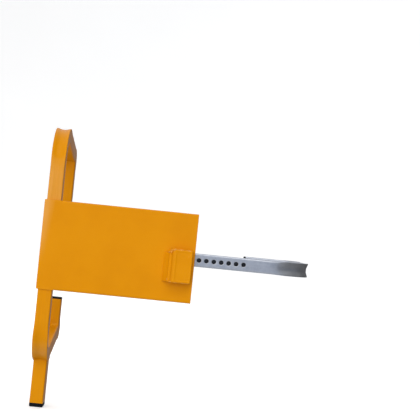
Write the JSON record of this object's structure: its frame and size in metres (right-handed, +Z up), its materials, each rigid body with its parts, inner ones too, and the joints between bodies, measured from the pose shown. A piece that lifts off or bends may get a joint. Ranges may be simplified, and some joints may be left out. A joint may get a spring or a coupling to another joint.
{
  "type": "wheel clamp",
  "caption": "Anti-theft wheel clamp: square-tube bracket round the tyre, steel face plate, sliding hook arm with adjusting holes, keyed locking bolt in a welded box.",
  "frame": {"origin": "middle of the flat inner face of the tyre bracket's front leg, which bears on the tyre's outer sidewall", "axes": "+X along the hook arm away from the bracket, +Y through the wheel towards the vehicle, +Z up; the face plate and lock box face -Y"},
  "size_m": [0.5695, 0.32, 0.598],
  "materials": {
    "amber_paint": "semi-gloss amber yellow powder coat, lightly worn at edges",
    "zinc_plated_steel": "satin bluish zinc plate with drawing marks",
    "black_plastic": "moulded black polyethylene",
    "lock_steel": "satin steel",
    "lock_zinc": "die-cast zinc, satin",
    "lock_brass": "satin brass",
    "bolt_steel": "turned steel, bright zinc"
  },
  "bodies": {
    "clamp_body": {"face_plate": "amber_paint", "tyre_bracket": "amber_paint", "foot_tube": "amber_paint", "arm_sleeve": "amber_paint", "lock_box": "amber_paint", "barrel_saddle": "amber_paint", "upper_hook_cap": "black_plastic", "lower_hook_cap": "black_plastic", "foot_cap": "black_plastic", "lock_face_plate": "lock_steel", "lock_barrel": "lock_zinc", "bolt_guide": "bolt_steel"},
    "arm": {"hook_arm": "zinc_plated_steel", "arm_hook_cap": "black_plastic", "arm_inner_plug": "black_plastic"},
    "key_plug": {"lock_plug": "lock_brass", "lock_wafers": "lock_brass", "drive_cam": "lock_steel", "cam_screw": "lock_steel"},
    "bolt": {"locking_bolt": "bolt_steel", "bolt_yoke": "bolt_steel", "bolt_clip": "lock_steel"}
  },
  "joints": [
    {"name": "arm_slide", "type": "slide", "parent": "clamp_body", "child": "arm", "axis": [1, 0, 0], "range_m": [-0.1256, 0.0314]},
    {"name": "plug_turn", "type": "hinge", "parent": "clamp_body", "child": "key_plug", "pos_m": [0.297, -0.0455, -0.028], "axis": [-1, 0, 0], "range_deg": [0, 90]},
    {"name": "bolt_slide", "type": "slide", "parent": "clamp_body", "child": "bolt", "axis": [0, 1, 0], "range_m": [0, 0.009]}
  ],
  "couplings": [
    {"joint": "plug_turn", "follows": "bolt_slide", "rad_per_m": 174.53}
  ]
}
